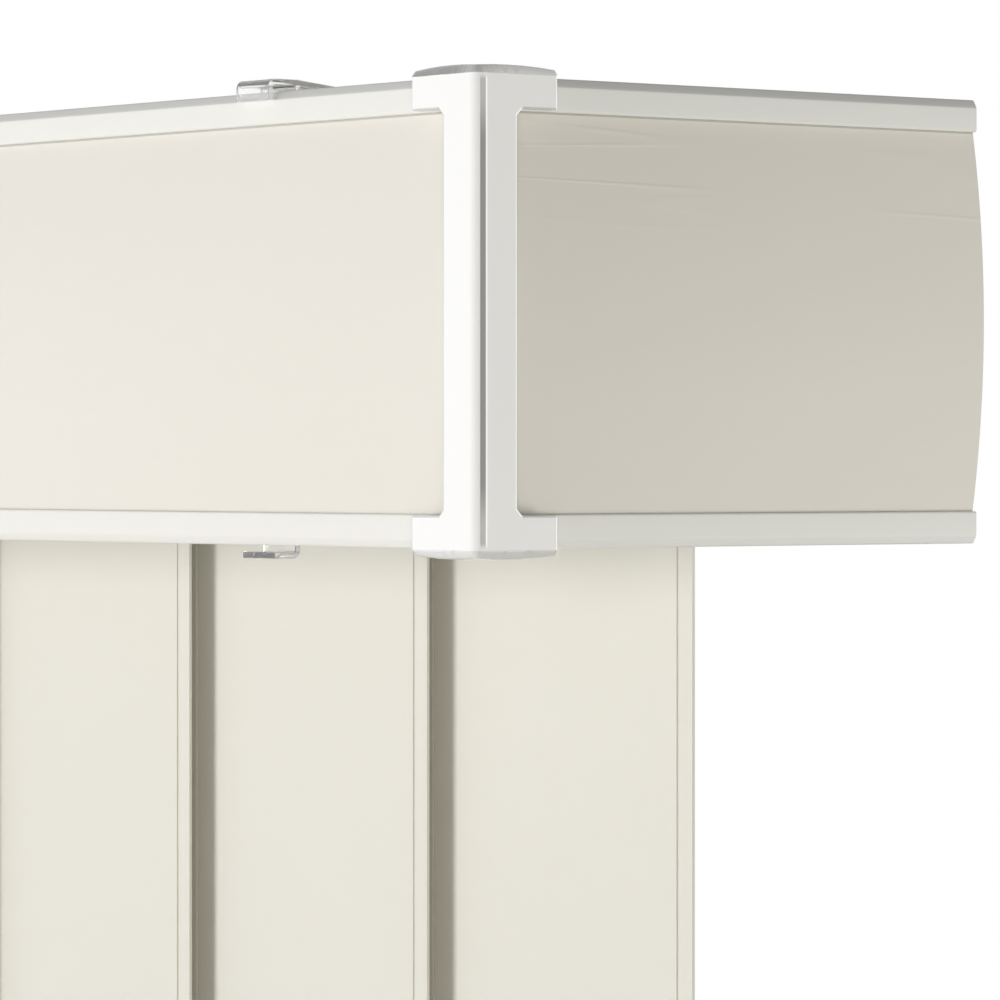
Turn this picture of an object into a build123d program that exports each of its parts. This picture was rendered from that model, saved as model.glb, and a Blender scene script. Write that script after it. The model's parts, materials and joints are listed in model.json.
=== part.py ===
"""Vertical blind: wall-hung headrail with nine hanging vanes, a corner valance and a wand.

Frame: +X to the right as seen from the room, -Y towards the room, +Z up.
The origin lies on the wall, in the middle of the four bracket screw holes.
Lengths are in millimetres and angles in degrees. A reach is a distance out from the wall.
"""

import os
from math import cos, hypot, radians, sin, sqrt

from build123d import *

# Vanes
vane_count = 9
vane_width = 89.0
vane_thickness = 0.6
vane_crown = 0.45
vane_length = 872.0
vane_pitch = 79.0
vane_tilt = 4.0
edge_strip = 4.4
groove_width = 0.7
groove_depth = 0.3
hang_slot_length = 12.0
hang_slot_height = 5.0
hang_slot_drop = 8.0
hang_slot_chamfer = 1.2

# Headrail
rail_depth = 40.0
rail_height = 30.0
rail_wall = 1.2
rail_slot = 16.0
rail_flange = 1.5
rail_round = 1.0
rail_overhang = 42.0
track_rib = 1.5

# Places measured from the wall and from the middle of the screw holes
pivot_reach = 56.0
rail_rise = 18.0
valance_rise = 20.0
valance_reach = 118.2
valance_side = 57.1
wall_clear = 0.5

# Valance channel and its bowed insert
valance_height = 82.5
lip_height = 6.0
lip_thickness = 0.9
lip_cap = 1.2
lip_bevel_depth = 0.9
lip_bevel_height = 1.5
channel_wall = 1.2
insert_thickness = 0.7
insert_bow = 2.0
insert_clear = 0.15
mitre_clear = 0.1

# Corner mouldings
corner_arm = 18.3
corner_waist = 9.3
corner_flange = 7.2
corner_wall = 1.0
corner_cap = 1.2
corner_back_lip = 6.0
corner_window_chamfer = 1.2
corner_ridge_round = 2.0
corner_rim_chamfer = 1.0
corner_dome_radius = 100.0
corner_dome_inset = 8.0
corner_clear = 0.15

# Valance clips
clip_place_share = 0.464
clip_width = 10.0
clip_thickness = 1.2
clip_lift = 1.1
clip_tongue = 9.0
clip_lip = 1.6
clip_prong_gap = 1.2
clip_hook = 1.3
clip_bend = 0.9
clip_clear = 0.3

# Wall brackets and their latches
bracket_spacing = 500.0
bracket_width = 30.0
bracket_thickness = 1.5
bracket_foot = 22.0
bracket_bend = 2.0
bracket_hook = 1.4
screw_spacing = 20.0
screw_hole_radius = 2.3
latch_thickness = 0.8
latch_width = 14.0
latch_tail = 14.0
latch_hook = 1.3
hook_bend = 1.0
latch_bend = 0.6
hook_clear = 0.2

# Carriers
carrier_length = 27.0
carrier_body_width = 26.0
carrier_body_height = 19.5
carrier_shoe_height = 5.0
carrier_chamfer = 3.0
neck_width = 13.0
neck_drop = 4.0
run_clear = 0.3

# Tilt rod and end caps
rod_radius = 2.4
rod_spline_height = 0.6
rod_spline_width = 1.2
rod_spline_count = 6
rod_rise = 15.0
rod_seat = 5.0
cap_plate = 2.2
cap_plug = 8.0
cap_chamfer = 2.0

# Spacer strips
spacer_width = 4.4
spacer_thickness = 0.3
spacer_level_pitch = 0.9
spacer_levels = 5
spacer_tail = 3.0
spacer_offset = 8.0
spacer_chamfer = 1.2

# Stems
stem_radius = 2.6
stem_reach = 6.0
shoulder_width = 10.0
shoulder_height = 1.2
hook_width = 8.0
hook_depth = 2.2
hook_length = 18.0
hook_slit = 0.9
hook_tip_chamfer = 0.5
nib_width = 4.0
nib_height = 3.0
nib_gap = 0.1
vane_drop = 9.0

# Wand and the lead carrier's arm
wand_side = 41.0
wand_forward = 30.0
arm_width = 8.0
arm_thickness = 3.2
lug_thickness = 3.0
lug_radius = 3.4
lug_drop = 4.6
pin_radius = 1.4
pin_clear = 0.2
cheek_thickness = 1.6
socket_drop = 4.2
socket_radius = 4.2
socket_length = 12.0
socket_bore_depth = 8.0
wand_radius = 3.6
wand_sides = 6
wand_length = 520.0
wand_stub_radius = 2.4
wand_stub = 7.0
wand_seat = 7.0
grip_radius = 5.8
grip_neck_radius = 4.6
grip_length = 82.0
grip_taper = 24.0
grip_chamfer = 1.6
grip_bore_clear = 0.1

# Fits and cuts
fit_clear = 0.3
overrun = 2.0

# Derived places along X
vane_span = (vane_count - 1) * vane_pitch
return_face = vane_span / 2 + valance_side
rail_length = vane_span + 2 * rail_overhang
carrier_places = [index * vane_pitch - vane_span / 2 for index in range(vane_count)]

# Derived places along Y
pivot_y = -pivot_reach
rail_front_reach = pivot_reach + rail_depth / 2
rail_nose_reach = rail_front_reach + rail_flange
rail_tail_reach = pivot_reach - rail_depth / 2 - rail_flange

# Derived levels
rail_bottom = rail_rise - rail_height
rail_floor = rail_bottom + rail_wall
flange_under = rail_rise - rail_wall
valance_mid = valance_rise - valance_height / 2
valance_foot = valance_rise - valance_height
shoe_bottom = rail_floor + run_clear
neck_bottom = rail_bottom - neck_drop
rod_level = rail_bottom + rod_rise
vane_top = rail_bottom - vane_drop
slot_top = vane_top - hang_slot_drop
stem_top = shoe_bottom + stem_reach
shoulder_top = neck_bottom - fit_clear
hook_top = shoulder_top - shoulder_height
hook_bottom = hook_top - hook_length
pin_level = neck_bottom - lug_drop
socket_top = pin_level - socket_drop
socket_bottom = socket_top - socket_length
wand_top = socket_bottom - fit_clear
grip_top = wand_top - wand_length

# Derived valance section, drawn as outward distance from the lip face and height about the middle
half_height = valance_height / 2
bow_half_chord = half_height - lip_height
bow_rise = insert_bow + lip_thickness + insert_clear
bow_radius = (bow_half_chord**2 + bow_rise**2) / (2 * bow_rise)
bow_centre = insert_bow - bow_radius
web_radius = bow_radius - insert_thickness - insert_clear
channel_back = bow_centre + sqrt((web_radius - channel_wall) ** 2 - half_height**2)
corner_proud = insert_bow + corner_clear + corner_wall
corner_edge = return_face + corner_proud

LOW_MIDDLE = (Align.CENTER, Align.MIN)
HIGH_MIDDLE = (Align.CENTER, Align.MAX)
HALF_TURN = 180


def section_plane(x, reach=0.0, level=0.0):
    """Cross-section of the blind: local x towards the room, local y up, normal to the left."""
    return Plane(origin=(x, -reach, level), x_dir=(0, -1, 0), z_dir=(-1, 0, 0))


def front_plane(x, reach=0.0, level=0.0):
    """Upright plane along the blind: local x to the right, local y up, normal towards the room."""
    return Plane(origin=(x, -reach, level), x_dir=(1, 0, 0), z_dir=(0, -1, 0))


def level_plane(x, reach, level):
    """Level plane: local x to the right, local y towards the wall."""
    return Plane(origin=(x, -reach, level))


def vane_direction():
    turn = radians(vane_tilt)
    return (cos(turn), -sin(turn), 0)


def vane_plane(x, level):
    """Level plane on a vane's pivot: local x along the vane, local y towards the wall."""
    return Plane(origin=(x, pivot_y, level), x_dir=vane_direction(), z_dir=(0, 0, 1))


def vane_face_plane(x, level):
    """Upright plane in the middle of a vane, its normal towards the room."""
    along = Vector(*vane_direction())
    return Plane(origin=(x, pivot_y, level), x_dir=along, z_dir=along.cross(Vector(0, 0, 1)))


def mitre_plane(side, shift=0.0):
    """Upright plane that halves a valance corner, its normal towards the return."""
    step = shift / sqrt(2)
    place = (side * (return_face + step), step - valance_reach, 0)
    return Plane(origin=place, x_dir=(0, 0, 1), z_dir=(side, 1, 0))


def save(part, name):
    part.label = name
    export_step(part, f"parts/{name}.step")


def bent_strip(plane, points, radii, thickness, width):
    """Strip of even thickness along a bent line, centred on the plane; sharp bends without radii."""
    with BuildPart() as strip:
        with BuildSketch(plane):
            with BuildLine():
                if radii:
                    FilletPolyline(*points, radius=radii)
                else:
                    Polyline(*points)
            trace(line_width=thickness)
        extrude(amount=width / 2, both=True)
    return strip.part


os.makedirs("parts", exist_ok=True)

# Headrail: channel with hook flanges along its top and track ribs along its slot
with BuildPart() as headrail:
    with BuildSketch(section_plane(rail_length / 2, pivot_reach, rail_bottom)) as rail_section:
        Rectangle(rail_depth, rail_height, align=LOW_MIDDLE)
        with Locations((0, rail_height)):
            Rectangle(rail_depth + 2 * rail_flange, rail_wall, align=HIGH_MIDDLE)
        fillet(rail_section.vertices().group_by(Axis.Y)[0], rail_round)
        with Locations((0, rail_wall)):
            Rectangle(
                rail_depth - 2 * rail_wall,
                rail_height - 2 * rail_wall,
                align=LOW_MIDDLE,
                mode=Mode.SUBTRACT,
            )
        with GridLocations(rail_slot + rail_wall, 0, 2, 1):
            Rectangle(rail_wall, rail_wall + track_rib, align=LOW_MIDDLE)
        Rectangle(rail_slot, rail_height, mode=Mode.SUBTRACT)
    extrude(amount=rail_length)
save(headrail.part, "headrail")

# End caps: plate over the rail's end, plug inside it, blind seat for the tilt rod
rod_outer = rod_radius + rod_spline_height
rod_window = 2 * (rod_outer + fit_clear)
plug_bottom = rail_floor + track_rib + fit_clear
plug_height = flange_under - fit_clear - plug_bottom
plug_width = rail_depth - 2 * rail_wall - 2 * fit_clear
with BuildPart() as end_cap_right:
    with BuildSketch(section_plane(rail_length / 2 + cap_plate, pivot_reach, rail_bottom)) as plate:
        Rectangle(rail_depth + 2 * rail_flange, rail_height, align=LOW_MIDDLE)
        chamfer(plate.vertices(), cap_chamfer)
    extrude(amount=cap_plate)
    with BuildSketch(section_plane(rail_length / 2, pivot_reach, plug_bottom)) as plug:
        Rectangle(plug_width, plug_height, align=LOW_MIDDLE)
        chamfer(plug.vertices(), cap_chamfer)
    extrude(amount=cap_plug)
    with BuildSketch(section_plane(rail_length / 2 - cap_plug + rod_seat, pivot_reach, rod_level)):
        Rectangle(rod_window, rod_window)
    extrude(amount=rod_seat + overrun, mode=Mode.SUBTRACT)
save(end_cap_right.part, "end_cap_right")

with BuildPart() as end_cap_left:
    add(end_cap_right.part.mirror(Plane.YZ))
save(end_cap_left.part, "end_cap_left")

# Tilt rod: splined bar from one end cap's seat to the other's
rod_length = rail_length - 2 * (cap_plug - rod_seat + fit_clear)
with BuildPart() as tilt_rod:
    with BuildSketch(section_plane(rod_length / 2, pivot_reach, rod_level)):
        Circle(rod_radius)
        with PolarLocations(0, rod_spline_count):
            Rectangle(rod_outer, rod_spline_width, align=(Align.MIN, Align.CENTER))
    extrude(amount=rod_length)
save(tilt_rod.part, "tilt_rod")

# Wall brackets: bent plate that reaches over the headrail and hooks under its front flange,
# with a spring latch under the arm that holds the rear flange
bracket_mid = bracket_thickness / 2
bracket_top = rail_rise + hook_clear + bracket_mid
bracket_nose = rail_nose_reach + hook_clear + bracket_mid
bracket_under = flange_under - hook_clear - bracket_mid
bracket_points = [
    (bracket_mid, -bracket_foot),
    (bracket_mid, bracket_top),
    (bracket_nose, bracket_top),
    (bracket_nose, bracket_under),
    (bracket_nose - bracket_hook, bracket_under),
]
latch_mid = latch_thickness / 2
latch_top = rail_rise + hook_clear - latch_mid
latch_reach = rail_tail_reach - hook_clear - latch_mid
latch_under = flange_under - hook_clear - latch_mid
latch_points = [
    (latch_reach - latch_tail, latch_top),
    (latch_reach, latch_top),
    (latch_reach, latch_under),
    (latch_reach + latch_hook, latch_under),
]


def wall_bracket(x):
    """Bracket with its two screw holes, one above the other."""
    radii = [bracket_bend, hook_bend, hook_bend]
    with BuildPart() as bracket:
        add(bent_strip(section_plane(x), bracket_points, radii, bracket_thickness, bracket_width))
        with BuildSketch(front_plane(x)):
            with GridLocations(0, screw_spacing, 1, 2):
                Circle(screw_hole_radius)
        extrude(amount=bracket_thickness + overrun, both=True, mode=Mode.SUBTRACT)
    return bracket.part


def bracket_latch(x):
    """Spring strip seated under the bracket's arm."""
    radii = [latch_bend, latch_bend]
    return bent_strip(section_plane(x), latch_points, radii, latch_thickness, latch_width)


for side, x in (("left", -bracket_spacing / 2), ("right", bracket_spacing / 2)):
    save(wall_bracket(x), f"bracket_{side}")
    save(bracket_latch(x), f"bracket_latch_{side}")


def bowed_band(radius, thickness, height):
    """Section of a strip bent about the bow's centre, trimmed level along both edges."""
    with BuildSketch() as band:
        with Locations(Location((bow_centre, 0, 0), HALF_TURN)):
            Circle(radius)
            Circle(radius - thickness, mode=Mode.SUBTRACT)
        with Locations((insert_bow, 0)):
            Rectangle(bow_radius, height, mode=Mode.INTERSECT)
    return band.sketch


def channel_section():
    """Bowed web with a bevelled lip along its top and its bottom edge."""
    seat = half_height - lip_cap
    bevel_end = half_height - lip_bevel_height
    with BuildSketch() as section:
        add(bowed_band(web_radius, channel_wall, valance_height))
        for hand in (1, -1):
            with BuildLine():
                Polyline(
                    (channel_back, hand * half_height),
                    (-lip_bevel_depth, hand * half_height),
                    (0, hand * bevel_end),
                    (0, hand * bow_half_chord),
                    (-lip_thickness, hand * bow_half_chord),
                    (-lip_thickness, hand * seat),
                    (channel_back, hand * seat),
                    close=True,
                )
            make_face()
    return section.sketch


def front_run(section):
    """Length of valance across the front, mitred at both corners."""
    with BuildPart() as run:
        with BuildSketch(section_plane(corner_edge, valance_reach, valance_mid)):
            add(section)
        extrude(amount=2 * corner_edge)
        for side in (-1, 1):
            split(bisect_by=mitre_plane(side, -mitre_clear), keep=Keep.BOTTOM)
    return run.part


def return_run(section):
    """Length of valance from the wall to the right-hand corner, mitred at the corner."""
    with BuildPart() as run:
        with BuildSketch(front_plane(return_face, wall_clear, valance_mid)):
            add(section)
        extrude(amount=valance_reach + corner_proud)
        split(bisect_by=mitre_plane(1, mitre_clear), keep=Keep.TOP)
    return run.part


insert_height = valance_height - 2 * (lip_cap + insert_clear)
insert_section = bowed_band(bow_radius, insert_thickness, insert_height)
for name, section in (("valance", channel_section()), ("insert", insert_section)):
    save(front_run(section), f"{name}_front")
    right_run = return_run(section)
    save(right_run.mirror(Plane.YZ), f"{name}_return_left")
    save(right_run, f"{name}_return_right")

# Corner mouldings: two flanges that grip the lips, joined by a waist over the mitre,
# with a top and a bottom that bow slightly both ways
corner_top = half_height + corner_clear + corner_cap
corner_inner = channel_back - corner_clear
corner_back = corner_inner - corner_wall
dome_rise = corner_dome_radius - sqrt(corner_dome_radius**2 - 2 * corner_dome_inset**2)
dome_top = corner_top + dome_rise
with BuildPart() as corner_right:
    with BuildSketch(section_plane(corner_edge, valance_reach, valance_mid)):
        for hand, inward in ((1, Align.MAX), (-1, Align.MIN)):
            with Locations((corner_proud, hand * dome_top)):
                Rectangle(corner_proud - corner_clear, dome_rise + corner_flange, align=(Align.MAX, inward))
                Rectangle(corner_proud - corner_back, dome_rise + corner_cap, align=(Align.MAX, inward))
            with Locations((corner_inner, hand * corner_top)):
                Rectangle(corner_wall, corner_back_lip, align=(Align.MAX, inward))
        with Locations((corner_proud, 0)):
            Rectangle(corner_wall, 2 * corner_top, align=(Align.MAX, Align.CENTER))
    extrude(amount=corner_arm)
    with BuildSketch(front_plane(corner_edge - corner_waist, valance_reach, valance_mid)) as window:
        Rectangle(corner_arm, 2 * (corner_top - corner_flange), align=(Align.MAX, Align.CENTER))
        chamfer(window.vertices().group_by(Axis.X)[-1], corner_window_chamfer)
    extrude(amount=corner_proud + overrun, mode=Mode.SUBTRACT)
    split(bisect_by=mitre_plane(1), keep=Keep.BOTTOM)
    mirror(about=mitre_plane(1))
    dome_x = corner_edge - corner_dome_inset
    dome_y = corner_dome_inset - valance_reach - corner_proud
    for hand in (1, -1):
        dome_centre = (dome_x, dome_y, valance_mid + hand * (dome_top - corner_dome_radius))
        for across in ((1, 1, 0), (1, -1, 0)):
            with Locations(Plane(origin=dome_centre, z_dir=across)):
                Cylinder(corner_dome_radius, 2 * corner_dome_radius, mode=Mode.INTERSECT)
    front_face = corner_right.faces().sort_by(Axis.Y)[0]
    ridge = front_face.edges().filter_by(Axis.Z).sort_by(Axis.X)[-1:]
    fillet(ridge, corner_ridge_round)
    outer_faces = [corner_right.faces().sort_by(Axis.Y)[0], corner_right.faces().sort_by(Axis.X)[-1]]
    rims = [face.edges().group_by(Axis.Z)[row][0] for face in outer_faces for row in (0, -1)]
    chamfer(rims, corner_rim_chamfer)
save(corner_right.part, "corner_right")

with BuildPart() as corner_left:
    add(corner_right.part.mirror(Plane.YZ))
save(corner_left.part, "corner_left")

# Valance clips: tongue on the headrail with a hook round its front flange, arm over the valance's
# top, leg down behind it and prong under its bottom edge
clip_mid = clip_thickness / 2
clip_tongue_level = rail_rise + hook_clear + clip_mid
clip_arm_level = valance_rise + clip_lift + clip_mid
clip_front_reach = valance_reach + clip_clear + clip_mid
clip_leg_reach = valance_reach + channel_back - clip_clear - clip_mid
clip_prong_level = valance_foot - clip_prong_gap - clip_mid
clip_hook_reach = rail_nose_reach + hook_clear + clip_mid
clip_hook_level = flange_under - hook_clear - clip_mid
clip_arm_points = [
    (rail_nose_reach - clip_tongue, clip_tongue_level),
    (rail_nose_reach + clip_tongue, clip_tongue_level),
    (clip_leg_reach, clip_arm_level),
    (clip_front_reach, clip_arm_level),
    (clip_front_reach, valance_rise - clip_lip),
]
clip_leg_points = [
    (clip_leg_reach, clip_arm_level),
    (clip_leg_reach, clip_prong_level),
    (valance_reach, clip_prong_level),
]
clip_hook_points = [
    (clip_hook_reach, clip_tongue_level),
    (clip_hook_reach, clip_hook_level),
    (clip_hook_reach - clip_hook, clip_hook_level),
]


def valance_clip(x):
    """Clip moulded in one piece from three bent strips."""
    with BuildPart() as clip:
        for points in (clip_arm_points, clip_leg_points):
            bends = [clip_bend] * (len(points) - 2)
            add(bent_strip(section_plane(x), points, bends, clip_thickness, clip_width))
        add(bent_strip(section_plane(x), clip_hook_points, [], clip_thickness, clip_width))
    return clip.part


bracket_side = (bracket_spacing + bracket_width) / 2
clip_x = bracket_side + clip_place_share * (corner_edge - corner_arm - bracket_side)
for name, x in (("left", -clip_x), ("middle", 0.0), ("right", clip_x)):
    save(valance_clip(x), f"valance_clip_{name}")

# Carriers: gliders on the headrail's floor, with a neck through its slot for the stem
shoe_width = rail_depth - 2 * (rail_wall + run_clear)
rod_height = rod_level - shoe_bottom
spacer_window = (spacer_levels - 1) * spacer_level_pitch + spacer_thickness + 2 * fit_clear


def carrier(x, leads):
    """Glider housing; the leading one also has the arm and lug that the wand hangs from."""
    arm_length = hypot(wand_side, wand_forward)
    arm_direction = (-wand_side, -wand_forward, 0)
    arm_plane = Plane(origin=(x, pivot_y, neck_bottom), x_dir=arm_direction, z_dir=(0, 0, 1))
    with BuildPart() as glider:
        with BuildSketch(section_plane(x + carrier_length / 2, pivot_reach, shoe_bottom)) as housing:
            Rectangle(carrier_body_width, carrier_body_height, align=LOW_MIDDLE)
            chamfer(housing.vertices().group_by(Axis.Y)[-1], carrier_chamfer)
            Rectangle(shoe_width, carrier_shoe_height, align=LOW_MIDDLE)
            with GridLocations(rail_slot + rail_wall, 0, 2, 1):
                Rectangle(rail_wall + 2 * run_clear, track_rib, align=LOW_MIDDLE, mode=Mode.SUBTRACT)
            with Locations((0, rod_height)):
                Rectangle(rod_window, rod_window, mode=Mode.SUBTRACT)
            with Locations((-spacer_offset, rod_height)):
                Rectangle(spacer_width + 2 * fit_clear, spacer_window, mode=Mode.SUBTRACT)
        extrude(amount=carrier_length)
        with BuildSketch(level_plane(x, pivot_reach, neck_bottom)):
            Rectangle(neck_width, neck_width)
        extrude(amount=shoe_bottom - neck_bottom)
        if leads:
            with BuildSketch(arm_plane):
                with Locations((arm_length / 2, 0)):
                    SlotCenterToCenter(arm_length, arm_width)
            extrude(amount=arm_thickness)
            with BuildSketch(section_plane(x - wand_side, pivot_reach + wand_forward, pin_level)):
                Circle(lug_radius)
                Rectangle(2 * lug_radius, lug_drop, align=LOW_MIDDLE)
                Circle(pin_radius + pin_clear, mode=Mode.SUBTRACT)
            extrude(amount=lug_thickness / 2, both=True)
        with BuildSketch(level_plane(x, pivot_reach, neck_bottom)):
            Circle(stem_radius + fit_clear)
        extrude(amount=stem_top + fit_clear - neck_bottom, mode=Mode.SUBTRACT)
    return glider.part


for index, x in enumerate(carrier_places):
    save(carrier(x, leads=index == 0), f"carrier_{index + 1}")


def spacer(index):
    """Strip held by the carrier on its right, running on through the carrier on its left."""
    left_end = carrier_places[index] - carrier_length / 2 - spacer_tail
    right_end = carrier_places[index + 1]
    step = index % spacer_levels - (spacer_levels - 1) / 2
    level = rod_level + step * spacer_level_pitch - spacer_thickness / 2
    middle = (left_end + right_end) / 2
    with BuildPart() as strip:
        with BuildSketch(level_plane(middle, pivot_reach - spacer_offset, level)) as outline:
            Rectangle(right_end - left_end, spacer_width)
            chamfer(outline.vertices(), spacer_chamfer)
        extrude(amount=spacer_thickness)
    return strip.part


for index in range(vane_count - 1):
    save(spacer(index), f"spacer_{index + 1}")


def stem(x):
    """Turning stem with a shoulder under the neck and a slit hook whose nib carries the vane."""
    with BuildPart() as post:
        with BuildSketch(vane_plane(x, shoulder_top)):
            Circle(stem_radius)
        extrude(amount=stem_top - shoulder_top)
        with BuildSketch(vane_plane(x, hook_top)):
            Rectangle(shoulder_width, 2 * stem_radius)
        extrude(amount=shoulder_height)
        with BuildSketch(vane_plane(x, hook_bottom)):
            Rectangle(hook_width, hook_depth)
        extrude(amount=hook_length)
        tip_edges = post.faces().sort_by(Axis.Z)[0].edges()
        chamfer(tip_edges, hook_tip_chamfer)
        with BuildSketch(vane_plane(x, hook_bottom)):
            Rectangle(hook_width + overrun, hook_slit)
        extrude(amount=vane_top + fit_clear - hook_bottom, mode=Mode.SUBTRACT)
        with BuildSketch(vane_plane(x, slot_top - nib_gap)):
            with Locations((0, hook_slit / 2)):
                Rectangle(nib_width, hook_slit - nib_gap, align=HIGH_MIDDLE)
        extrude(amount=-nib_height)
    return post.part


def vane(x):
    """Thin crowned strip with a fine groove beside each long edge and a hanging slot."""
    half_width = vane_width / 2
    half_thickness = vane_thickness / 2
    groove_place = half_width - edge_strip
    groove_share = groove_place / half_width
    groove_face = vane_crown * groove_share**2 - half_thickness
    with BuildPart() as strip:
        with BuildSketch(vane_plane(x, vane_top - vane_length)):
            with BuildLine():
                face = ThreePointArc(
                    (-half_width, vane_crown - half_thickness),
                    (0, -half_thickness),
                    (half_width, vane_crown - half_thickness),
                )
                rear = ThreePointArc(
                    (half_width, vane_crown + half_thickness),
                    (0, half_thickness),
                    (-half_width, vane_crown + half_thickness),
                )
                Line(face @ 1, rear @ 0)
                Line(rear @ 1, face @ 0)
            make_face()
            with Locations((-groove_place, groove_face), (groove_place, groove_face)):
                Rectangle(groove_width, 2 * groove_depth, mode=Mode.SUBTRACT)
        extrude(amount=vane_length)
        with BuildSketch(vane_face_plane(x, slot_top - hang_slot_height / 2)) as hang_slot:
            Rectangle(hang_slot_length, hang_slot_height)
            chamfer(hang_slot.vertices(), hang_slot_chamfer)
        extrude(amount=overrun, both=True, mode=Mode.SUBTRACT)
    return strip.part


for index, x in enumerate(carrier_places):
    save(stem(x), f"stem_{index + 1}")
    save(vane(x), f"vane_{index + 1}")

# Wand: yoke on the lead carrier's lug, six-sided rod that turns in its socket, and grip
wand_x = carrier_places[0] - wand_side
wand_reach = pivot_reach + wand_forward
cheek_inner = lug_thickness / 2 + fit_clear
cheek_outer = cheek_inner + cheek_thickness
with BuildPart() as wand_yoke:
    with BuildSketch(section_plane(wand_x, wand_reach, pin_level)):
        Circle(lug_radius)
        Rectangle(2 * lug_radius, socket_drop, align=HIGH_MIDDLE)
    extrude(amount=cheek_outer, both=True)
    with BuildSketch(section_plane(wand_x, wand_reach, pin_level)):
        Rectangle(2 * (lug_radius + overrun), 2 * socket_drop)
    extrude(amount=cheek_inner, both=True, mode=Mode.SUBTRACT)
    with BuildSketch(section_plane(wand_x, wand_reach, pin_level)):
        Circle(pin_radius)
    extrude(amount=cheek_outer, both=True)
    with BuildSketch(level_plane(wand_x, wand_reach, socket_bottom)):
        RegularPolygon(socket_radius, wand_sides)
    extrude(amount=socket_length)
    with BuildSketch(level_plane(wand_x, wand_reach, socket_bottom)):
        Circle(wand_stub_radius + fit_clear)
    extrude(amount=socket_bore_depth, mode=Mode.SUBTRACT)
save(wand_yoke.part, "wand_yoke")

with BuildPart() as wand_rod:
    with BuildSketch(level_plane(wand_x, wand_reach, grip_top - wand_seat)):
        RegularPolygon(wand_radius, wand_sides)
    extrude(amount=wand_seat + wand_length)
    with BuildSketch(level_plane(wand_x, wand_reach, wand_top)):
        Circle(wand_stub_radius)
    extrude(amount=wand_stub + fit_clear)
save(wand_rod.part, "wand_rod")

with BuildPart() as wand_grip:
    for level, radius in ((grip_top, grip_neck_radius), (grip_top - grip_taper, grip_radius)):
        with BuildSketch(level_plane(wand_x, wand_reach, level)):
            RegularPolygon(radius, wand_sides)
    loft(ruled=True)
    with BuildSketch(level_plane(wand_x, wand_reach, grip_top - grip_taper)):
        RegularPolygon(grip_radius, wand_sides)
    extrude(amount=grip_taper - grip_length)
    chamfer(wand_grip.faces().sort_by(Axis.Z)[0].edges(), grip_chamfer)
    with BuildSketch(level_plane(wand_x, wand_reach, grip_top)):
        RegularPolygon(wand_radius + grip_bore_clear, wand_sides)
    extrude(amount=-(wand_seat + fit_clear), mode=Mode.SUBTRACT)
save(wand_grip.part, "wand_grip")
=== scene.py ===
"""Looks of a wall-hung vertical blind: bowed cream valance, corner mouldings and hanging vanes.

Lengths are in metres, in the blind's own frame: +X to the right as seen from the room, -Y towards
the room, +Z up, with the origin on the wall in the middle of the bracket screw holes.
"""

import json
import math

import bmesh
import bpy
from mathutils import Matrix, Vector


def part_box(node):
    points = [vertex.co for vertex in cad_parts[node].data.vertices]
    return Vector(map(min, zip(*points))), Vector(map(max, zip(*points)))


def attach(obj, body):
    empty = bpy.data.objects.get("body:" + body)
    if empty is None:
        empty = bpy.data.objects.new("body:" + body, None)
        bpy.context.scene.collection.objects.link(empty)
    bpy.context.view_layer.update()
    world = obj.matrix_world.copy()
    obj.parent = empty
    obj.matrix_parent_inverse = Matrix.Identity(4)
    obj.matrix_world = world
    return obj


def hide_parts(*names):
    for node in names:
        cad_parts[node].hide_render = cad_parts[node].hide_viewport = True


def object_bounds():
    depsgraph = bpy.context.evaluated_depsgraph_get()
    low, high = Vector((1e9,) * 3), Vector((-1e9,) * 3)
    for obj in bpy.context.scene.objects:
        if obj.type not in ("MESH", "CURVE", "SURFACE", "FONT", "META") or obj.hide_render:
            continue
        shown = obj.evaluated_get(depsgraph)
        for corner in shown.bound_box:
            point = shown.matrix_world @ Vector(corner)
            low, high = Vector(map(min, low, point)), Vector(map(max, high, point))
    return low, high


# Valance: its place, and its section as distance from the lips' faces and height about the middle
VALANCE_REACH = 0.1182
RETURN_FACE = 0.3731
WALL_CLEAR = 0.0005
VALANCE_RISE = 0.020
VALANCE_HEIGHT = 0.0825
LIP_HEIGHT = 0.006
LIP_THICKNESS = 0.0009
LIP_CAP = 0.0012
LIP_BEVEL_DEPTH = 0.0009
LIP_BEVEL_HEIGHT = 0.0015
LIP_BEVEL_ROUND = 0.00035
LIP_EDGE_ROUND = 0.0005
CHANNEL_WALL = 0.0012
INSERT_THICKNESS = 0.0007
INSERT_BOW = 0.002
INSERT_CLEAR = 0.00015
MITRE_CLEAR = 0.0001
BOW_STEPS = 48
ROUND_STEPS = 8

# Vanes
VANE_WIDTH = 0.089
VANE_THICKNESS = 0.0006
VANE_CROWN = 0.00045
VANE_TILT = math.radians(4.0)
VANE_STEPS = 60
EDGE_STRIP = 0.0044
STRIP_STEPS = 4
GROOVE_WIDTH = 0.0007
GROOVE_DEPTH = 0.0003
HANG_SLOT_LENGTH = 0.012
HANG_SLOT_HEIGHT = 0.005
HANG_SLOT_DROP = 0.008

# Painted shadow along the seam between the upper lip and the insert, and the blur of painted shades
# that change with height
SEAM_LEVEL = VALANCE_RISE - LIP_HEIGHT
SEAM_SHADOW = 0.0003
LEVEL_BLUR = 0.0001

# Corner mouldings: eased edges, and the bow and level rim of each end
CORNER_ROUND = 0.0004
DOME_RADIUS = 0.1
DOME_INSET = 0.008
DOME_STEP = 0.0012
DOME_CUTS = 9
CAP_DEPTH = 0.0024
CAP_SLOPE = 0.05
RIM_CHAMFER = 0.001
RIM_DROP = 0.00185
RIM_MARGIN = 0.00003
RIM_ZONE = 2 * RIM_CHAMFER
BOW_ZONE = RIM_CHAMFER / 4
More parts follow.
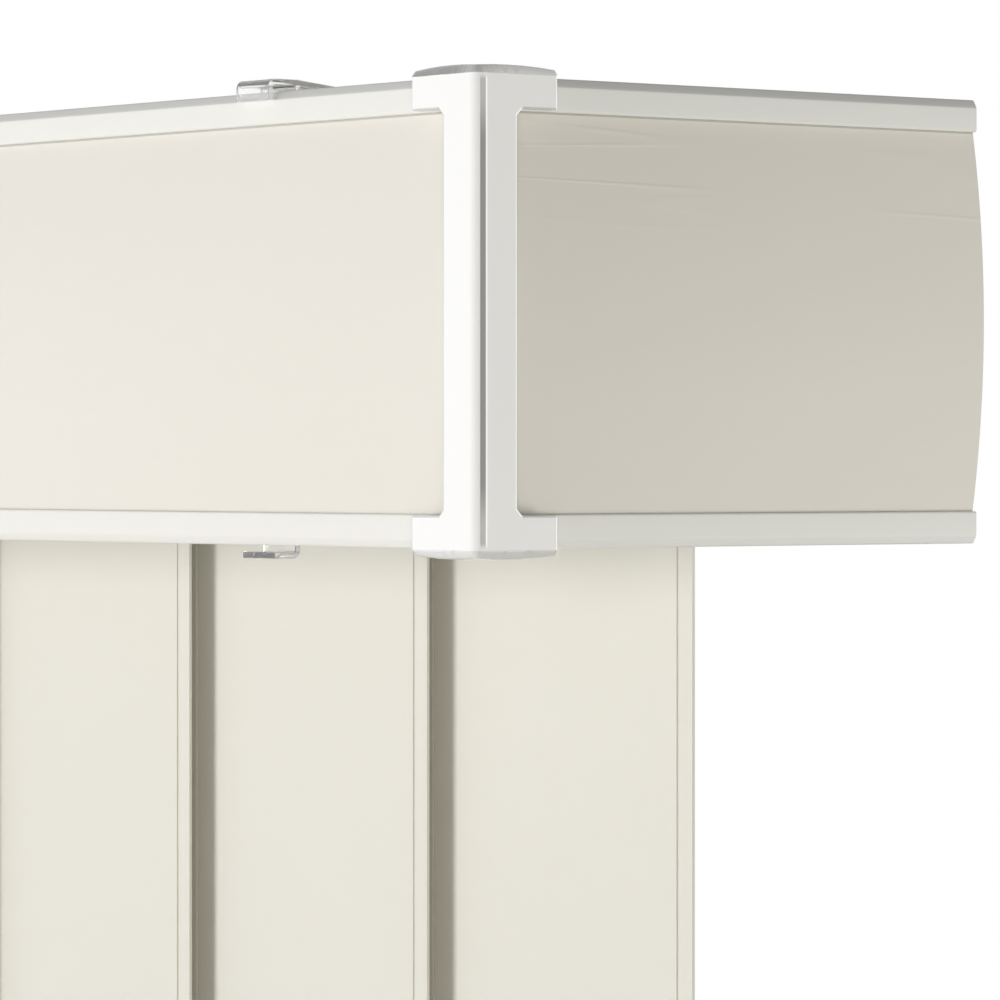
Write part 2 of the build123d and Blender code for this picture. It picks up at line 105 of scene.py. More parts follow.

# Corner mouldings: share of painted shade on ends and edges, standing in for light bent in clear
# plastic, where a negative share paints a glowing highlight
PAINTED_SHADE_LAYER = "clear"
TOP_PAINTED_SHADE = 1.0
RETURN_PAINTED_SHADE = 0.3
TOP_BLEND = 0.012
FOOT_PAINTED_SHADE = 0.2
EDGE_PAINTED_SHADE = 0.3
PAINTED_GLINT = -1.0
GLINT_TURN = 0.2
CLEAR_PAINTED_SHADE = 0.2

# Painted shade band and glowing painted highlight line beside a corner's ridge, standing in for
# light bent in clear plastic; the ends are shares of the half height
BAND_OFFSET = 0.0009
BAND_WIDTH = 0.0013
RIDGE_PAINTED_SHADE = 0.24
BAND_ENDS = (1.0, 0.97)
BAND_FADE_ENDS = (0.92, 0.7)
BAND_FADE = 0.45
BAND_BLUR = 0.00015
RIDGE_PAINTED_HIGHLIGHT_WIDTH = 0.00015
RIDGE_PAINTED_HIGHLIGHT_GLOW = 0.35

# Creases in the returns' film: stretch along the strip, patches, levels of fading and height
CREASE_STRETCH = (1.0, 0.06, 1.0)
CREASE_PATCH_SCALE = 30.0
CREASE_PATCHES = (0.40, 0.60)
CREASE_LOW = -0.010
CREASE_HIGH = 0.002
CREASE_HEIGHT = 0.00006

# Noise's middle value, and the height of drawn lines and grain
NOISE_MIDDLE = 0.5
RELIEF_HEIGHT = 0.0001

# Welding and edge rounding of moulded and bent pieces
WELD = 0.00001
SLIVER = 0.000004
ROUND_PROFILE = 0.5
FLAT_ANGLE = math.radians(1.0)
SHARP_ANGLE = math.radians(35.0)
SMOOTH_ANGLE = math.radians(32.0)
EDGE_STEPS = 3

# Camera at the photograph's viewing angle
CAMERA_PLACE = Vector((1.1703, -0.7433, -0.0464))
CAMERA_TURN = math.radians(51.69)
CAMERA_DIP = math.radians(0.423)
FRAME_PIXELS = 1000
FOCAL_PIXELS = 5836.2
SENSOR_WIDTH = 36.0

# Floor
FLOOR_DROP = 0.06
FLOOR_HALF = 3.0

# Soft light from the surroundings, and lamps (name, place, target, size, watts, colour)
WORLD_BELOW = 0.62
WORLD_ABOVE = 0.06
LAMPS = (
    ("key", (-0.7, -2.5, -0.15), (0.2, -0.1, -0.15), 1.1, 42.5, (1.0, 0.995, 1.0)),
    ("side", (0.8, 0.25, -0.22), (0.37, -0.05, -0.03), 0.4, 1.2, (1.0, 0.985, 0.95)),
    ("fill", (2.0, -1.3, -0.3), (0.3, -0.06, -0.15), 0.9, 10.0, (1.0, 0.97, 0.86)),
)

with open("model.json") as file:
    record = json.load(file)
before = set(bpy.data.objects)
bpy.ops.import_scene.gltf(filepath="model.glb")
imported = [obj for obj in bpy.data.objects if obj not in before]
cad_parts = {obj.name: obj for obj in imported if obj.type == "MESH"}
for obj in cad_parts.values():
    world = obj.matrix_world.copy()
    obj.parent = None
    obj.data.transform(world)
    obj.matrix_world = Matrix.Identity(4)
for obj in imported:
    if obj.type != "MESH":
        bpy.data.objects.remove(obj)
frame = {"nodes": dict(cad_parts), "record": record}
cad_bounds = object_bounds()
record = frame["record"]
body_of = {node: body for body, nodes in record["behaviour"]["bodies"].items() for node in nodes}
hinge_of = {joint["child"]: joint for joint in record["behaviour"]["joints"]}
vane_count = sum(1 for node in frame["nodes"] if node.startswith("vane_"))
vane_places = range(1, vane_count + 1)


# Shader node groups

def new_group(name, inputs, outputs):
    """Shader group with named inputs (name, kind, default) and outputs (name, kind)."""
    group = bpy.data.node_groups.new(name, "ShaderNodeTree")
    for label, kind, default in inputs:
        socket = group.interface.new_socket(label, in_out="INPUT", socket_type=kind)
        if default is not None:
            socket.default_value = default
    for label, kind in outputs:
        group.interface.new_socket(label, in_out="OUTPUT", socket_type=kind)
    return group, group.nodes.new("NodeGroupInput"), group.nodes.new("NodeGroupOutput")


def feed(tree, socket, value):
    """Links an output to a socket, or sets the socket's constant value."""
    if isinstance(value, bpy.types.NodeSocket):
        tree.links.new(value, socket)
    else:
        socket.default_value = value


def math_node(tree, operation, *values):
    node = tree.nodes.new("ShaderNodeMath")
    node.operation = operation
    for socket, value in zip(node.inputs, values):
        feed(tree, socket, value)
    return node.outputs[0]


def mix_node(tree, factor, first, second):
    node = tree.nodes.new("ShaderNodeMix")
    node.data_type = "RGBA"
    for label, value in (("Factor_Float", factor), ("A_Color", first), ("B_Color", second)):
        feed(tree, next(item for item in node.inputs if item.identifier == label), value)
    return next(item for item in node.outputs if item.identifier == "Result_Color")


def ramp_node(tree, value, low, high):
    """Smooth rise from 0 at low to 1 at high."""
    node = tree.nodes.new("ShaderNodeMapRange")
    node.interpolation_type = "SMOOTHSTEP"
    for label, end in (("Value", value), ("From Min", low), ("From Max", high)):
        feed(tree, node.inputs[label], end)
    return node.outputs["Result"]


def noise_node(tree, vector, scale, detail):
    node = tree.nodes.new("ShaderNodeTexNoise")
    for label, value in (("Vector", vector), ("Scale", scale), ("Detail", detail)):
        feed(tree, node.inputs[label], value)
    return node.outputs["Fac"]


def height_of(tree, vector):
    """Third coordinate of a vector."""
    node = tree.nodes.new("ShaderNodeSeparateXYZ")
    tree.links.new(vector, node.inputs["Vector"])
    return node.outputs["Z"]


def make_tone_group():
    """Slow drift of tone over a moulded or extruded surface."""
    group, source, sink = new_group(
        "tone_drift",
        [
            ("Vector", "NodeSocketVector", None),
            ("Colour", "NodeSocketColor", (1, 1, 1, 1)),
            ("Shade", "NodeSocketColor", (1, 1, 1, 1)),
            ("Scale", "NodeSocketFloat", 20.0),
            ("Amount", "NodeSocketFloat", 0.5),
        ],
        [("Colour", "NodeSocketColor")],
    )
    drift = noise_node(group, source.outputs["Vector"], source.outputs["Scale"], detail=3.0)
    share = math_node(group, "MULTIPLY", drift, source.outputs["Amount"])
    mixed = mix_node(group, share, source.outputs["Colour"], source.outputs["Shade"])
    group.links.new(mixed, sink.inputs["Colour"])
    return group


def make_haze_group():
    """Gloss that changes a little over the surface, as handling and the mould leave it."""
    group, source, sink = new_group(
        "gloss_haze",
        [
            ("Vector", "NodeSocketVector", None),
            ("Roughness", "NodeSocketFloat", 0.4),
            ("Spread", "NodeSocketFloat", 0.1),
            ("Scale", "NodeSocketFloat", 60.0),
        ],
        [("Roughness", "NodeSocketFloat")],
    )
    drift = noise_node(group, source.outputs["Vector"], source.outputs["Scale"], detail=4.0)
    centred = math_node(group, "SUBTRACT", drift, NOISE_MIDDLE)
    spread = math_node(group, "MULTIPLY", centred, source.outputs["Spread"])
    rough = math_node(group, "ADD", source.outputs["Roughness"], spread)
    group.links.new(rough, sink.inputs["Roughness"])
    return group


def make_draw_group():
    """Fine lines along the direction in which a strip was drawn, over a faint moulded grain."""
    group, source, sink = new_group(
        "draw_lines",
        [
            ("Vector", "NodeSocketVector", None),
            ("Lines", "NodeSocketFloat", 900.0),
            ("Grain", "NodeSocketFloat", 2500.0),
            ("Line Share", "NodeSocketFloat", 0.6),
        ],
        [("Height", "NodeSocketFloat")],
    )
    lines = noise_node(group, source.outputs["Vector"], source.outputs["Lines"], detail=2.0)
    grain = noise_node(group, source.outputs["Vector"], source.outputs["Grain"], detail=1.0)
    line_part = math_node(group, "MULTIPLY", lines, source.outputs["Line Share"])
    grain_share = math_node(group, "SUBTRACT", 1.0, source.outputs["Line Share"])
    grain_part = math_node(group, "MULTIPLY", grain, grain_share)
    group.links.new(math_node(group, "ADD", line_part, grain_part), sink.inputs["Height"])
    return group


def make_crease_group():
    """Faint long creases in a film, along a stretched direction, fading out below a level."""
    group, source, sink = new_group(
        "film_creases",
        [
            ("Vector", "NodeSocketVector", None),
            ("Stretched", "NodeSocketVector", None),
            ("Scale", "NodeSocketFloat", 170.0),
            ("Width", "NodeSocketFloat", 0.05),
            ("Low", "NodeSocketFloat", 0.0),
            ("High", "NodeSocketFloat", 1.0),
        ],
        [("Height", "NodeSocketFloat")],
    )
    lines = noise_node(group, source.outputs["Stretched"], source.outputs["Scale"], detail=0.0)
    offset = math_node(group, "ABSOLUTE", math_node(group, "SUBTRACT", lines, NOISE_MIDDLE))
    crease = ramp_node(group, offset, source.outputs["Width"], 0.0)
    drift = noise_node(group, source.outputs["Vector"], CREASE_PATCH_SCALE, detail=0.0)
    patch = ramp_node(group, drift, *CREASE_PATCHES)
    height = height_of(group, source.outputs["Vector"])
    level = ramp_node(group, height, source.outputs["Low"], source.outputs["High"])
    relief = math_node(group, "MULTIPLY", math_node(group, "MULTIPLY", crease, patch), level)
    group.links.new(relief, sink.inputs["Height"])
    return group


def make_ridge_group():
    """Painted shade band and glowing painted highlight line beside a corner's ridge, standing in
    for light bent in clear plastic, and the painted shade and glints of clear edges and ends.
    """
    group, source, sink = new_group(
        "ridge_band",
        [
            ("Vector", "NodeSocketVector", None),
            ("Colour", "NodeSocketColor", (1, 1, 1, 1)),
            ("Shade", "NodeSocketColor", (0.5, 0.5, 0.5, 1)),
            ("Ridge", "NodeSocketFloat", 0.0),
            ("Width", "NodeSocketFloat", 0.001),
            ("Line", "NodeSocketFloat", 0.0002),
            ("Blur", "NodeSocketFloat", 0.0002),
            ("Middle", "NodeSocketFloat", 0.0),
            ("Half", "NodeSocketFloat", 0.04),
            ("Clear", "NodeSocketFloat", 0.0),
            ("Clear Shade", "NodeSocketColor", (0.5, 0.5, 0.5, 1)),
            ("Glint", "NodeSocketFloat", 0.3),
        ],
        [("Colour", "NodeSocketColor"), ("Glow", "NodeSocketFloat")],
    )
    split = group.nodes.new("ShaderNodeSeparateXYZ")
    group.links.new(source.outputs["Vector"], split.inputs["Vector"])
    side = math_node(group, "ABSOLUTE", split.outputs["X"])
    round_place = math_node(group, "ADD", side, split.outputs["Y"])
    place = math_node(group, "SUBTRACT", round_place, source.outputs["Ridge"])
    level = math_node(group, "SUBTRACT", split.outputs["Z"], source.outputs["Middle"])
    reach = math_node(group, "DIVIDE", math_node(group, "ABSOLUTE", level), source.outputs["Half"])
    inside = ramp_node(group, reach, *BAND_ENDS)
    middle = ramp_node(group, reach, *BAND_FADE_ENDS)
    fade = math_node(group, "MULTIPLY_ADD", middle, BAND_FADE, 1 - BAND_FADE)
    start = ramp_node(group, place, 0.0, source.outputs["Blur"])
    stop = math_node(group, "ADD", source.outputs["Width"], source.outputs["Blur"])
    end = ramp_node(group, place, stop, source.outputs["Width"])
    band = math_node(group, "MULTIPLY", start, end)
    band = math_node(group, "MULTIPLY", band, math_node(group, "MULTIPLY", inside, fade))
    # Painted shade on clear edges and ends, by their positive share
    clear = math_node(group, "MAXIMUM", source.outputs["Clear"], 0.0)
    edged = mix_node(group, clear, source.outputs["Colour"], source.outputs["Clear Shade"])
    group.links.new(mix_node(group, band, edged, source.outputs["Shade"]), sink.inputs["Colour"])
    # Painted highlight: a bright line just past the band, and glints where the share is negative
    line_start = ramp_node(group, place, source.outputs["Width"], stop)
    line_stop = math_node(group, "ADD", stop, source.outputs["Line"])
    past_line = math_node(group, "ADD", line_stop, source.outputs["Blur"])
    line_end = ramp_node(group, place, past_line, line_stop)
    line = math_node(group, "MULTIPLY", math_node(group, "MULTIPLY", line_start, inside), line_end)
    edge = math_node(group, "MULTIPLY", source.outputs["Clear"], -1.0)
    bright = math_node(group, "MAXIMUM", line, edge)
    glow = math_node(group, "MULTIPLY", bright, source.outputs["Glint"])
    group.links.new(glow, sink.inputs["Glow"])
    return group


def make_level_shade_group():
    """Painted shade between two heights, such as a seam's shadow or a bevel that faces up."""
    group, source, sink = new_group(
        "level_tone",
        [
            ("Vector", "NodeSocketVector", None),
            ("Colour", "NodeSocketColor", (1, 1, 1, 1)),
            ("Shade", "NodeSocketColor", (0.5, 0.5, 0.5, 1)),
            ("Low", "NodeSocketFloat", 0.0),
            ("High", "NodeSocketFloat", 0.001),
            ("Blur", "NodeSocketFloat", 0.0001),
        ],
        [("Colour", "NodeSocketColor")],
    )
    height = height_of(group, source.outputs["Vector"])
    below = math_node(group, "SUBTRACT", source.outputs["Low"], source.outputs["Blur"])
    above = math_node(group, "ADD", source.outputs["High"], source.outputs["Blur"])
    start = ramp_node(group, height, below, source.outputs["Low"])
    end = ramp_node(group, height, above, source.outputs["High"])
    band = math_node(group, "MULTIPLY", start, end)
    toned = mix_node(group, band, source.outputs["Colour"], source.outputs["Shade"])
    group.links.new(toned, sink.inputs["Colour"])
    return group


TONE_GROUP = make_tone_group()
HAZE_GROUP = make_haze_group()
DRAW_GROUP = make_draw_group()
CREASE_GROUP = make_crease_group()
RIDGE_GROUP = make_ridge_group()
LEVEL_SHADE_GROUP = make_level_shade_group()


def place_group(tree, group, **values):
    node = tree.nodes.new("ShaderNodeGroup")
    node.node_tree = group
    for label, value in values.items():
        feed(tree, node.inputs[label.replace("_", " ")], value)
    return node


def source_of(shader, label):
    """Output that feeds one of a shader's sockets."""
    return shader.inputs[label].links[0].from_socket


def finish_material(
    name, colour, shade, roughness, spread, stretch, bump, tone_scale=14.0, **sockets,
):
    """Procedural finish: drifting tone, hazed gloss and drawn lines along one direction."""
    material = bpy.data.materials.new(name)
    material.use_nodes = True
    tree = material.node_tree
    shader = tree.nodes["Principled BSDF"]
    coords = tree.nodes.new("ShaderNodeTexCoord")
    mapping = tree.nodes.new("ShaderNodeMapping")
    mapping.inputs["Scale"].default_value = stretch
    tree.links.new(coords.outputs["Object"], mapping.inputs["Vector"])
    tone = place_group(
        tree, TONE_GROUP, Vector=coords.outputs["Object"], Colour=(*colour, 1), Shade=(*shade, 1),
        Scale=tone_scale, Amount=1.0,
    )
    haze = place_group(
        tree, HAZE_GROUP, Vector=mapping.outputs["Vector"], Roughness=roughness, Spread=spread,
    )
    draw = place_group(tree, DRAW_GROUP, Vector=mapping.outputs["Vector"])
    relief = tree.nodes.new("ShaderNodeBump")
    relief.inputs["Strength"].default_value = bump
    relief.inputs["Distance"].default_value = RELIEF_HEIGHT
    tree.links.new(draw.outputs["Height"], relief.inputs["Height"])
    tree.links.new(tone.outputs["Colour"], shader.inputs["Base Color"])
    tree.links.new(haze.outputs["Roughness"], shader.inputs["Roughness"])
    tree.links.new(relief.outputs["Normal"], shader.inputs["Normal"])
    for label, value in sockets.items():
        shader.inputs[label.replace("_", " ")].default_value = value
    return material


def add_creases(material):
    """Lays faint creases over a strip that runs along Y, near its top."""
    tree = material.node_tree
    shader = tree.nodes["Principled BSDF"]
    coords = tree.nodes.new("ShaderNodeTexCoord")
    mapping = tree.nodes.new("ShaderNodeMapping")
    mapping.inputs["Scale"].default_value = CREASE_STRETCH
    tree.links.new(coords.outputs["Object"], mapping.inputs["Vector"])
    creases = place_group(
        tree, CREASE_GROUP, Vector=coords.outputs["Object"], Stretched=mapping.outputs["Vector"],
        Low=CREASE_LOW, High=CREASE_HIGH,
    )
    relief = tree.nodes.new("ShaderNodeBump")
    relief.inputs["Distance"].default_value = CREASE_HEIGHT
    tree.links.new(creases.outputs["Height"], relief.inputs["Height"])
    tree.links.new(source_of(shader, "Normal"), relief.inputs["Normal"])
    tree.links.new(relief.outputs["Normal"], shader.inputs["Normal"])


def add_ridge_painted_light(material):
    """Paints shade on a corner moulding beside its ridge, on the return's side, and glowing painted
    highlights on its edges.
    """
    tree = material.node_tree
    shader = tree.nodes["Principled BSDF"]
    coords = tree.nodes.new("ShaderNodeTexCoord")
    # The clear layer holds each face's share of painted shade, or a negative share for a painted
    # highlight
    clear = tree.nodes.new("ShaderNodeAttribute")
    clear.attribute_name = PAINTED_SHADE_LAYER
    band = place_group(
        tree, RIDGE_GROUP, Vector=coords.outputs["Object"],
        Colour=source_of(shader, "Base Color"), Shade=(RIDGE_PAINTED_SHADE, RIDGE_PAINTED_SHADE, RIDGE_PAINTED_SHADE, 1),
        Clear=clear.outputs["Fac"], Clear_Shade=(CLEAR_PAINTED_SHADE, CLEAR_PAINTED_SHADE, CLEAR_PAINTED_SHADE, 1),
        Ridge=RETURN_FACE - VALANCE_REACH + BAND_OFFSET, Width=BAND_WIDTH, Blur=BAND_BLUR,
        Line=RIDGE_PAINTED_HIGHLIGHT_WIDTH, Glint=RIDGE_PAINTED_HIGHLIGHT_GLOW,
        Middle=VALANCE_RISE - VALANCE_HEIGHT / 2, Half=VALANCE_HEIGHT / 2,
    )
    # Emission paints the highlights: the line beside the ridge and the glints on clear edges
    shader.inputs["Emission Color"].default_value = (1, 1, 1, 1)
    tree.links.new(band.outputs["Glow"], shader.inputs["Emission Strength"])
    tree.links.new(band.outputs["Colour"], shader.inputs["Base Color"])


def add_painted_level_shade(material, shade, low, high):
    """Paints shade on a material between two heights."""
    tree = material.node_tree
    shader = tree.nodes["Principled BSDF"]
    coords = tree.nodes.new("ShaderNodeTexCoord")
    tone = place_group(
        tree, LEVEL_SHADE_GROUP, Vector=coords.outputs["Object"], Colour=source_of(shader, "Base Color"),
        Shade=(*shade, 1), Low=low, High=high, Blur=LEVEL_BLUR,
    )
    tree.links.new(tone.outputs["Colour"], shader.inputs["Base Color"])


# Stretch of the drawn lines, by the direction that they run in
ALONG_X = (0.03, 1.0, 1.0)
ALONG_Y = (1.0, 0.03, 1.0)
ALONG_Z = (1.0, 1.0, 0.03)
EVEN = (1.0, 1.0, 1.0)

VANE_FINISH = finish_material(
    "vane_cream", (0.79, 0.77, 0.70), (0.77, 0.75, 0.677),
    roughness=0.42, spread=0.1, stretch=ALONG_Z, bump=0.25, IOR=1.5)
INSERT_FINISH = finish_material(
    "insert_cream", (0.83, 0.805, 0.745), (0.81, 0.785, 0.72),
    roughness=0.38, spread=0.1, stretch=ALONG_X, bump=0.25, IOR=1.5)
RETURN_INSERT_FINISH = finish_material(
    "return_insert_cream", (0.83, 0.805, 0.745), (0.81, 0.785, 0.72),
    roughness=0.38, spread=0.1, stretch=ALONG_Y, bump=0.25, IOR=1.5)
CHANNEL_FINISH = finish_material(
    "channel_ivory", (0.875, 0.868, 0.83), (0.86, 0.852, 0.81),
    roughness=0.3, spread=0.1, stretch=ALONG_X, bump=0.2, IOR=1.5)
# Painted light: the returns' channel is the front's ivory made lighter, to brighten the lips on the
# return side
RETURN_CHANNEL_LIT_FINISH = finish_material(
    "return_channel_ivory_lit", (0.90, 0.90, 0.875), (0.885, 0.885, 0.855),
    roughness=0.3, spread=0.1, stretch=ALONG_Y, bump=0.2, IOR=1.5)
CORNER_FINISH = finish_material(
    "corner_frosted", (0.98, 0.98, 0.975), (0.965, 0.965, 0.96),
    roughness=0.14, spread=0.05, stretch=EVEN, bump=0.1,
    IOR=1.6, Coat_Weight=1.0, Coat_IOR=1.9, Coat_Roughness=0.06)
CLEAR_FINISH = finish_material(
    "clear_moulding", (0.97, 0.975, 0.975), (0.95, 0.955, 0.955),
    roughness=0.08, spread=0.04, stretch=EVEN, bump=0.08,
    IOR=1.49, Transmission_Weight=0.9)
RAIL_FINISH = finish_material(
    "rail_aluminium", (0.80, 0.80, 0.79), (0.76, 0.76, 0.755),
    roughness=0.32, spread=0.12, stretch=ALONG_X, bump=0.4, Metallic=1.0)
BRACKET_FINISH = finish_material(
    "bracket_zinc", (0.62, 0.62, 0.61), (0.54, 0.545, 0.55),
    roughness=0.38, spread=0.2, stretch=EVEN, bump=0.3,
    tone_scale=90.0, Metallic=1.0)
SPRING_FINISH = finish_material(
    "spring_steel", (0.60, 0.60, 0.61), (0.56, 0.56, 0.575),
    roughness=0.24, spread=0.12, stretch=ALONG_X, bump=0.3, Metallic=1.0)
FITTING_FINISH = finish_material(
    "fitting_white", (0.80, 0.80, 0.78), (0.76, 0.76, 0.735),
    roughness=0.45, spread=0.12, stretch=EVEN, bump=0.4, IOR=1.5)
WAND_FINISH = finish_material(
    "wand_clear", (0.97, 0.975, 0.975), (0.95, 0.955, 0.955),
    roughness=0.06, spread=0.04, stretch=ALONG_Z, bump=0.08,
    IOR=1.49, Transmission_Weight=0.9)
GRIP_FINISH = finish_material(
    "grip_ivory", (0.83, 0.825, 0.78), (0.80, 0.795, 0.75),
    roughness=0.35, spread=0.1, stretch=EVEN, bump=0.3, IOR=1.5)

# Each strip's painted shade, a shadow under the upper lip on the inserts and a darker top bevel on
# the lips (finish, colour, the level that it starts from)
LEVEL_PAINTED_SHADES = (
    (INSERT_FINISH, (0.56, 0.545, 0.5), SEAM_LEVEL - SEAM_SHADOW),
    (RETURN_INSERT_FINISH, (0.56, 0.545, 0.5), SEAM_LEVEL - SEAM_SHADOW),
    (CHANNEL_FINISH, (0.64, 0.64, 0.62), VALANCE_RISE - LIP_BEVEL_HEIGHT),
    (RETURN_CHANNEL_LIT_FINISH, (0.68, 0.68, 0.66), VALANCE_RISE - LIP_BEVEL_HEIGHT),
)
add_creases(RETURN_INSERT_FINISH)
add_ridge_painted_light(CORNER_FINISH)
for strip_finish, painted_shade_colour, shade_level in LEVEL_PAINTED_SHADES:
    add_painted_level_shade(strip_finish, painted_shade_colour, shade_level, VALANCE_RISE)


# Pieces

def finish_piece(bm, name, node, material):
    """Mesh object that stands for a node and rides on the node's body."""
    mesh = bpy.data.meshes.new(name)
    bm.to_mesh(mesh)
    bm.free()
    mesh.shade_smooth()
    mesh.set_sharp_from_angle(angle=SMOOTH_ANGLE)
    mesh.materials.append(material)
    piece = bpy.data.objects.new(name, mesh)
    bpy.context.collection.objects.link(piece)
    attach(piece, body_of[node])
    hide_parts(node)
    return piece


def link_runs(bm, runs):
    """Joins chains of vertices end to end into one closed outline."""
    for run, following in zip(runs, runs[1:] + runs[:1]):
        bm.edges.new((run[-1], following[0]))


def fill_runs(bm, runs):
    """Joins chains of vertices into one closed outline and fills it."""
    link_runs(bm, runs)
    bm.faces.new([vert for run in runs for vert in run])


def spin_run(bm, place, centre, axis, angle, steps):
    """Chain of vertices on an arc that starts at a place and turns about an axis."""
    first = bm.verts.new(place)
    before = set(bm.verts)
    bmesh.ops.spin(
        bm, geom=[first], cent=centre, axis=axis, angle=angle, steps=steps,
        use_merge=False, use_duplicate=False,
    )
    return [first] + [vert for vert in bm.verts if vert not in before]


def arc_run(bm, centre, radius, start, end):
    """Chain of vertices on an arc in the local XZ plane; angles are measured from +X towards +Z."""
    place = (centre + radius * math.cos(start), 0, radius * math.sin(start))
    return spin_run(bm, place, (centre, 0, 0), (0, -1, 0), end - start, BOW_STEPS)


def point_run(bm, *points):
    """Chain of vertices at points (outward, height) in the local XZ plane."""
    return [bm.verts.new((across, 0, height)) for across, height in points]


def bow_values():
    """Half height of the valance, and the radius and centre of the insert's bow."""
    half_height = VALANCE_HEIGHT / 2
    half_chord = half_height - LIP_HEIGHT
    rise = INSERT_BOW + LIP_THICKNESS + INSERT_CLEAR
    radius = (half_chord**2 + rise**2) / (2 * rise)
    return half_height, radius, INSERT_BOW - radius


def insert_outline(bm):
    """Section of the bowed insert strip."""
    half_height, radius, centre = bow_values()
    edge = half_height - LIP_CAP - INSERT_CLEAR
    inner = radius - INSERT_THICKNESS
    front = math.asin(edge / radius)
    rear = math.asin(edge / inner)
    fill_runs(bm, [
        arc_run(bm, centre, radius, -front, front),
        arc_run(bm, centre, inner, rear, -rear),
    ])


def channel_outline(bm):
    """Section of the channel: bowed web with a rounded lip along its top and bottom edge."""
    half_height, bow_radius, centre = bow_values()
    web = bow_radius - INSERT_THICKNESS - INSERT_CLEAR
    back = web - CHANNEL_WALL
    back_edge = centre + math.sqrt(back**2 - half_height**2)
    seat = half_height - LIP_CAP
    web_turn = math.asin(seat / web)
    back_turn = math.asin(half_height / back)
    lower_lip = point_run(
        bm,
        (back_edge, -half_height),
        (-LIP_BEVEL_DEPTH, -half_height),
        (0, LIP_BEVEL_HEIGHT - half_height),
        (0, LIP_HEIGHT - half_height),
        (-LIP_THICKNESS, LIP_HEIGHT - half_height),
        (-LIP_THICKNESS, -seat),
    )
    web_face = arc_run(bm, centre, web, -web_turn, web_turn)
    upper_lip = point_run(
        bm,
        (-LIP_THICKNESS, seat),
        (-LIP_THICKNESS, half_height - LIP_HEIGHT),
        (0, half_height - LIP_HEIGHT),
        (0, half_height - LIP_BEVEL_HEIGHT),
        (-LIP_BEVEL_DEPTH, half_height),
        (back_edge, half_height),
    )
    web_back = arc_run(bm, centre, back, back_turn, -back_turn)
    for vert in (web_back[0], web_back[-1]):
        bm.verts.remove(vert)
    fill_runs(bm, [lower_lip, web_face, upper_lip, web_back[1:-1]])
    bevelled = lower_lip[1:3] + upper_lip[3:5]
    eased = [lower_lip[3], upper_lip[2]]
    for verts, amount in ((bevelled, LIP_BEVEL_ROUND), (eased, LIP_EDGE_ROUND)):
        bmesh.ops.bevel(
            bm, geom=verts, offset=amount, offset_type="OFFSET", segments=ROUND_STEPS,
            profile=ROUND_PROFILE, affect="VERTICES", material=-1,
        )


def valance_run(name, node, outline, material, start, outward, along, length, mitres):
    """Section carried along a straight run and cut by mitre planes (place, normal of the waste)."""
    bm = bmesh.new()
    outline(bm)
    result = bmesh.ops.extrude_face_region(bm, geom=bm.faces[:])
    moved = [item for item in result["geom"] if isinstance(item, bmesh.types.BMVert)]
    bmesh.ops.translate(bm, verts=moved, vec=(0, length, 0))
    upright = Vector((0, 0, 1))
    place = Matrix((outward, along, upright)).transposed().to_4x4()
    place.translation = start
    bmesh.ops.transform(bm, matrix=place, verts=bm.verts[:])
    for spot, waste in mitres:
        geom = bm.verts[:] + bm.edges[:] + bm.faces[:]
        bmesh.ops.bisect_plane(bm, geom=geom, plane_co=spot, plane_no=waste, clear_outer=True)
        rim = [edge for edge in bm.edges if edge.is_boundary]
        bmesh.ops.contextual_create(bm, geom=rim)
    bmesh.ops.recalc_face_normals(bm, faces=bm.faces[:])
    finish_piece(bm, name, node, material)


def make_valance():
    """Insert and channel of the front and of both returns, mitred at the corners."""
    middle = VALANCE_RISE - VALANCE_HEIGHT / 2
    margin = 2 * INSERT_BOW
    right, room = Vector((1, 0, 0)), Vector((0, -1, 0))
    corner_right = Vector((RETURN_FACE, -VALANCE_REACH, 0))
    corner_left = Vector((-RETURN_FACE, -VALANCE_REACH, 0))
    turn_right = (right - room).normalized()
    turn_left = (-right - room).normalized()
    front_mitres = [
        (corner_right - MITRE_CLEAR * turn_right, turn_right),
        (corner_left - MITRE_CLEAR * turn_left, turn_left),
    ]
    right_mitre = [(corner_right + MITRE_CLEAR * turn_right, -turn_right)]
    left_mitre = [(corner_left + MITRE_CLEAR * turn_left, -turn_left)]
    front_start = Vector((-RETURN_FACE - margin, -VALANCE_REACH, middle))
    front_length = 2 * (RETURN_FACE + margin)
    return_length = VALANCE_REACH - WALL_CLEAR + margin
    right_start = Vector((RETURN_FACE, -VALANCE_REACH - margin, middle))
    left_start = Vector((-RETURN_FACE, -WALL_CLEAR, middle))
    looks = (
        ("insert", "strip", insert_outline, INSERT_FINISH, RETURN_INSERT_FINISH),
        ("valance", "channel", channel_outline, CHANNEL_FINISH, RETURN_CHANNEL_LIT_FINISH),
    )
    for part, form, outline, front_finish, return_finish in looks:
        valance_run(
            f"{part}_front_{form}", f"{part}_front", outline, front_finish,
            front_start, room, right, front_length, front_mitres)
        valance_run(
            f"{part}_return_right_{form}", f"{part}_return_right", outline, return_finish,
            right_start, right, -room, return_length, right_mitre)
        valance_run(
            f"{part}_return_left_{form}", f"{part}_return_left", outline, return_finish,
            left_start, -right, room, return_length, left_mitre)


